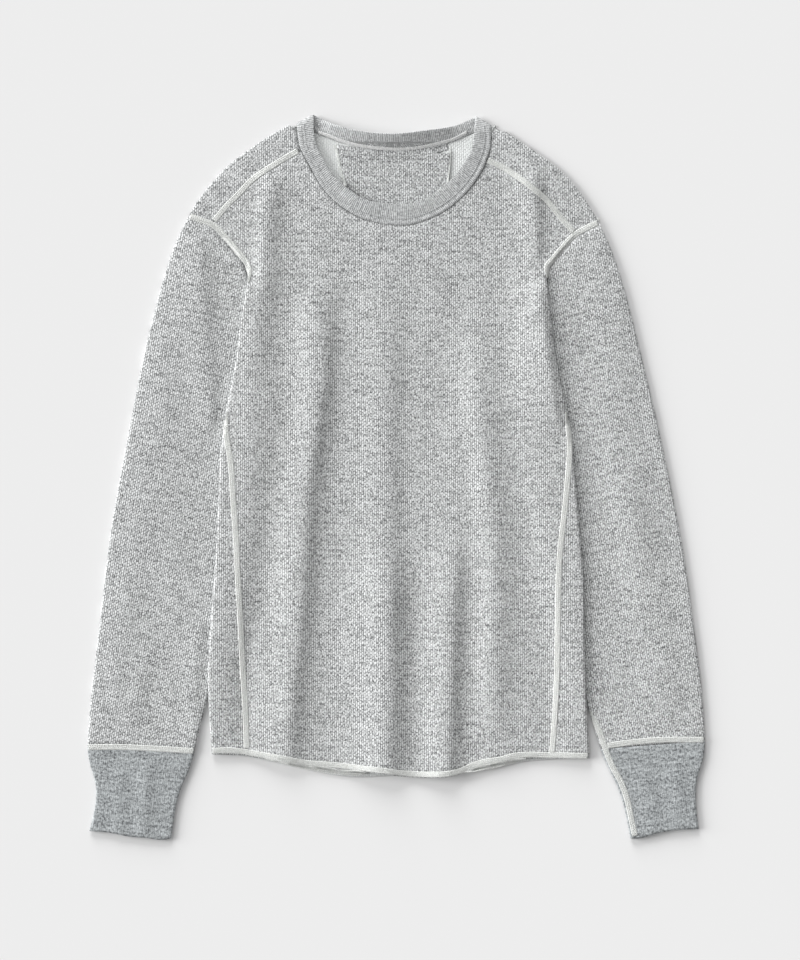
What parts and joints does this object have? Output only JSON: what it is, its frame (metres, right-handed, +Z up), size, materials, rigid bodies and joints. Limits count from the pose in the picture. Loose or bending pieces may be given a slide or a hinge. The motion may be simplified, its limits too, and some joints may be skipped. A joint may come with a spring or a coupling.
{
  "type": "thermal top",
  "caption": "Long-sleeved waffle-knit thermal top with a round ribbed neckband and ribbed cuffs, laid flat face up.",
  "frame": {"origin": "centre of the laid garment's plan, on the plane of the surface it lies on", "axes": "+X to the right as seen from above with the collar up, +Y from hem to collar, +Z up off the surface"},
  "size_m": [0.6362, 0.7472, 0.0139],
  "materials": {
    "waffle_cloth": "matte grey heather waffle knit",
    "rib_cloth": "matte grey heather fine rib"
  },
  "bodies": {
    "root": {"front": "waffle_cloth", "back": "waffle_cloth", "sleeve_left": "waffle_cloth", "sleeve_right": "waffle_cloth", "cuff_left": "rib_cloth", "cuff_right": "rib_cloth", "neckband": "rib_cloth", "neck_patch": "waffle_cloth"}
  },
  "joints": []
}
